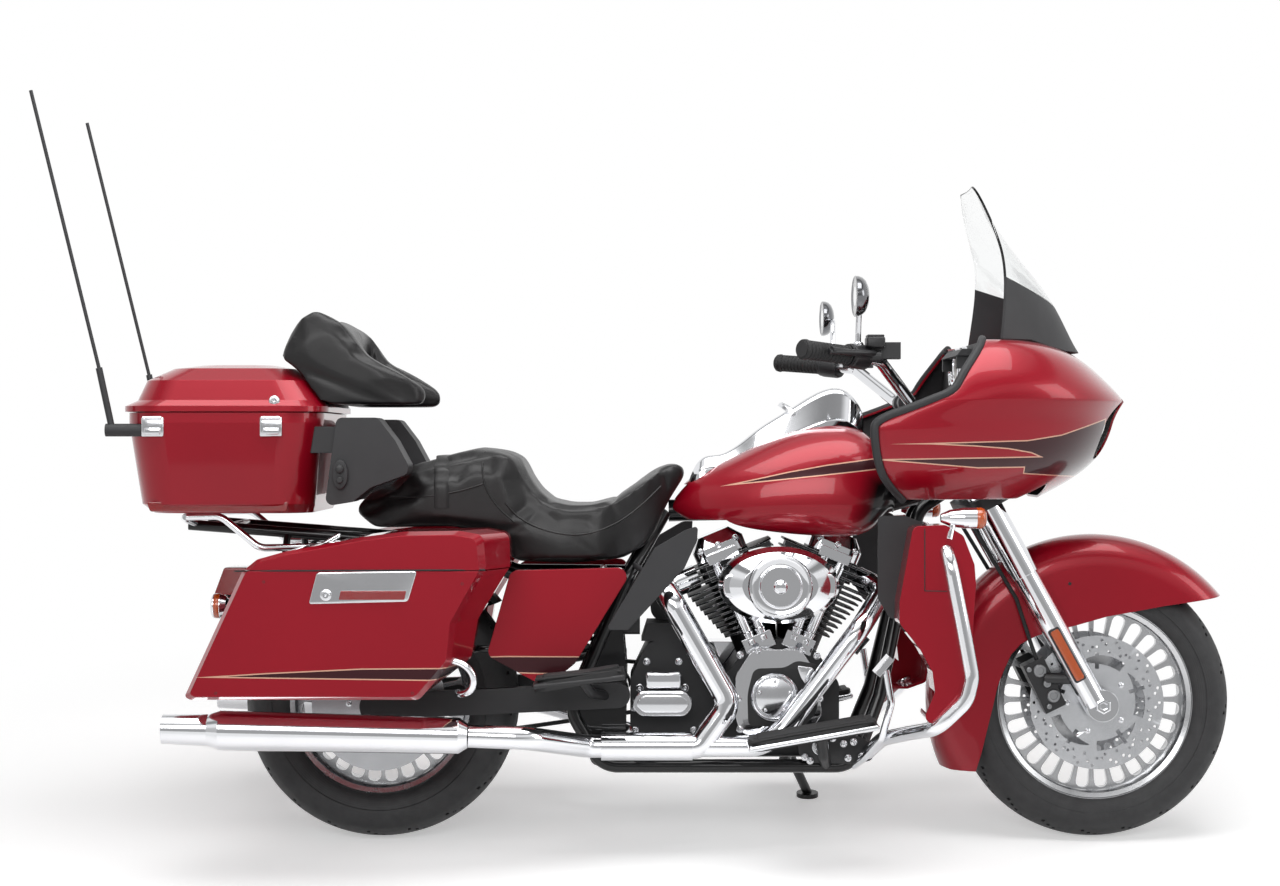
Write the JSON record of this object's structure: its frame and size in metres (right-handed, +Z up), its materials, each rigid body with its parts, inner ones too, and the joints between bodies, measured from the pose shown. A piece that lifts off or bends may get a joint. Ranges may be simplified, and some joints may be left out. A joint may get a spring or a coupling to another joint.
{
  "type": "touring cruiser motorcycle",
  "caption": "Touring motorcycle with fairing, windshield, saddlebags, top box with backrest and V-twin engine, on its side stand; wheels turn, fork steers, lids, boards and stand fold.",
  "frame": {"origin": "bottom centre of the box around the parked motorcycle", "axes": "+X towards the front wheel, +Y to the rider's left, +Z up; the machine leans to +Y on its side stand"},
  "size_m": [2.6638, 1.0906, 1.6804],
  "materials": {
    "red_paint": "candy red clear coat",
    "black_paint": "gloss black",
    "black_plastic": "satin moulded",
    "chrome": "polished",
    "aluminium": "cast and machined",
    "steel": "brushed",
    "tyre": "moulded rubber",
    "rubber": "matt",
    "leather": "satin grained",
    "clear_glass": "clear moulded",
    "smoke_glass": "dark tinted",
    "lamp_glass": "clear lens",
    "red_lens": "translucent lens"
  },
  "bodies": {
    "chassis": {"air_cleaner": "chrome", "air_deflectors": "black_plastic", "antennas": "black_plastic", "battery_box": "black_plastic", "crankcase": "aluminium", "cylinders": "aluminium", "drive_belt": "rubber", "engine_covers": "chrome", "engine_guard": "chrome", "exhaust_pipes": "chrome", "fairing": "red_paint", "foot_controls": "chrome", "footboard_arms": "chrome", "frame": "black_paint", "fuel_tank": "red_paint", "headlamps": "lamp_glass", "inner_fairing": "black_plastic", "lower_fairings": "red_paint", "luggage_rails": "chrome", "mufflers": "chrome", "plate_bracket": "black_paint", "pushrod_tubes": "chrome", "rear_fender": "black_paint", "rear_shocks": "black_paint", "rocker_covers": "chrome", "saddlebags": "red_paint", "seat": "leather", "side_covers": "red_paint", "signal_lamps": "red_lens", "speaker_pods": "black_plastic", "swingarm": "black_paint", "tank_console": "chrome", "top_box_base": "red_paint", "transmission": "aluminium", "windshield": "clear_glass", "windshield_base": "smoke_glass"},
    "fork": {"fork_yokes": "aluminium", "fork_legs": "chrome", "front_fender": "red_paint", "handlebar": "chrome", "grips": "rubber", "hand_controls": "chrome", "mirrors": "chrome", "front_calipers": "aluminium", "brake_lines": "steel"},
    "front_wheel": {"front_rim": "aluminium", "front_tyre": "tyre", "front_discs": "steel"},
    "rear_wheel": {"rear_rim": "aluminium", "rear_tyre": "tyre", "rear_disc_pulley": "steel"},
    "side_stand": {"side_stand": "steel"},
    "rider_board_left": {"rider_board_left": "rubber"},
    "rider_board_right": {"rider_board_right": "rubber"},
    "passenger_board_left": {"passenger_board_left": "rubber"},
    "passenger_board_right": {"passenger_board_right": "rubber"},
    "saddlebag_lid_left": {"saddlebag_lid_left": "red_paint"},
    "saddlebag_lid_right": {"saddlebag_lid_right": "red_paint"},
    "top_box_lid": {"top_box_lid": "red_paint", "backrest": "leather"}
  },
  "joints": [
    {"name": "steering", "type": "hinge", "parent": "chassis", "child": "fork", "pos_m": [0.80176, -0.0291, 0.79223], "axis": [-0.4384, 0.1251, 0.89], "range_deg": [-28, 28]},
    {"name": "front_wheel_spin", "type": "hinge", "parent": "fork", "child": "front_wheel", "pos_m": [1.02194, -0.0973, 0.307], "axis": [0, 0.9903, -0.1392], "continuous": true},
    {"name": "rear_wheel_spin", "type": "hinge", "parent": "chassis", "child": "rear_wheel", "pos_m": [-0.59106, -0.0973, 0.307], "axis": [0, 0.9903, -0.1392], "continuous": true},
    {"name": "side_stand_fold", "type": "hinge", "parent": "chassis", "child": "side_stand", "pos_m": [0.33894, 0.05438, 0.15036], "axis": [0.1691, 0.734, 0.6577], "range_deg": [0, 92]},
    {"name": "rider_board_left_fold", "type": "hinge", "parent": "chassis", "child": "rider_board_left", "pos_m": [0.36394, 0.14145, 0.23103], "axis": [0.9851, 0.0239, 0.1703], "range_deg": [0, 60]},
    {"name": "rider_board_right_fold", "type": "hinge", "parent": "chassis", "child": "rider_board_right", "pos_m": [0.36394, -0.34774, 0.29978], "axis": [-0.9851, -0.0239, -0.1703], "range_deg": [0, 60]},
    {"name": "passenger_board_left_fold", "type": "hinge", "parent": "chassis", "child": "passenger_board_left", "pos_m": [-0.13706, 0.15774, 0.34689], "axis": [0.9851, 0.0239, 0.1703], "range_deg": [0, 70]},
    {"name": "passenger_board_right_fold", "type": "hinge", "parent": "chassis", "child": "passenger_board_right", "pos_m": [-0.13706, -0.33145, 0.41564], "axis": [-0.9851, -0.0239, -0.1703], "range_deg": [0, 70]},
    {"name": "saddlebag_lid_left_open", "type": "hinge", "parent": "chassis", "child": "saddlebag_lid_left", "pos_m": [-0.59106, 0.16769, 0.59015], "axis": [1, 0, 0], "range_deg": [0, 35]},
    {"name": "saddlebag_lid_right_open", "type": "hinge", "parent": "chassis", "child": "saddlebag_lid_right", "pos_m": [-0.59106, -0.27397, 0.65222], "axis": [-1, 0, 0], "range_deg": [0, 35]},
    {"name": "top_box_lid_open", "type": "hinge", "parent": "chassis", "child": "top_box_lid", "pos_m": [-1.13606, 0.27999, 0.91137], "axis": [-1, 0, 0], "range_deg": [0, 70]}
  ]
}
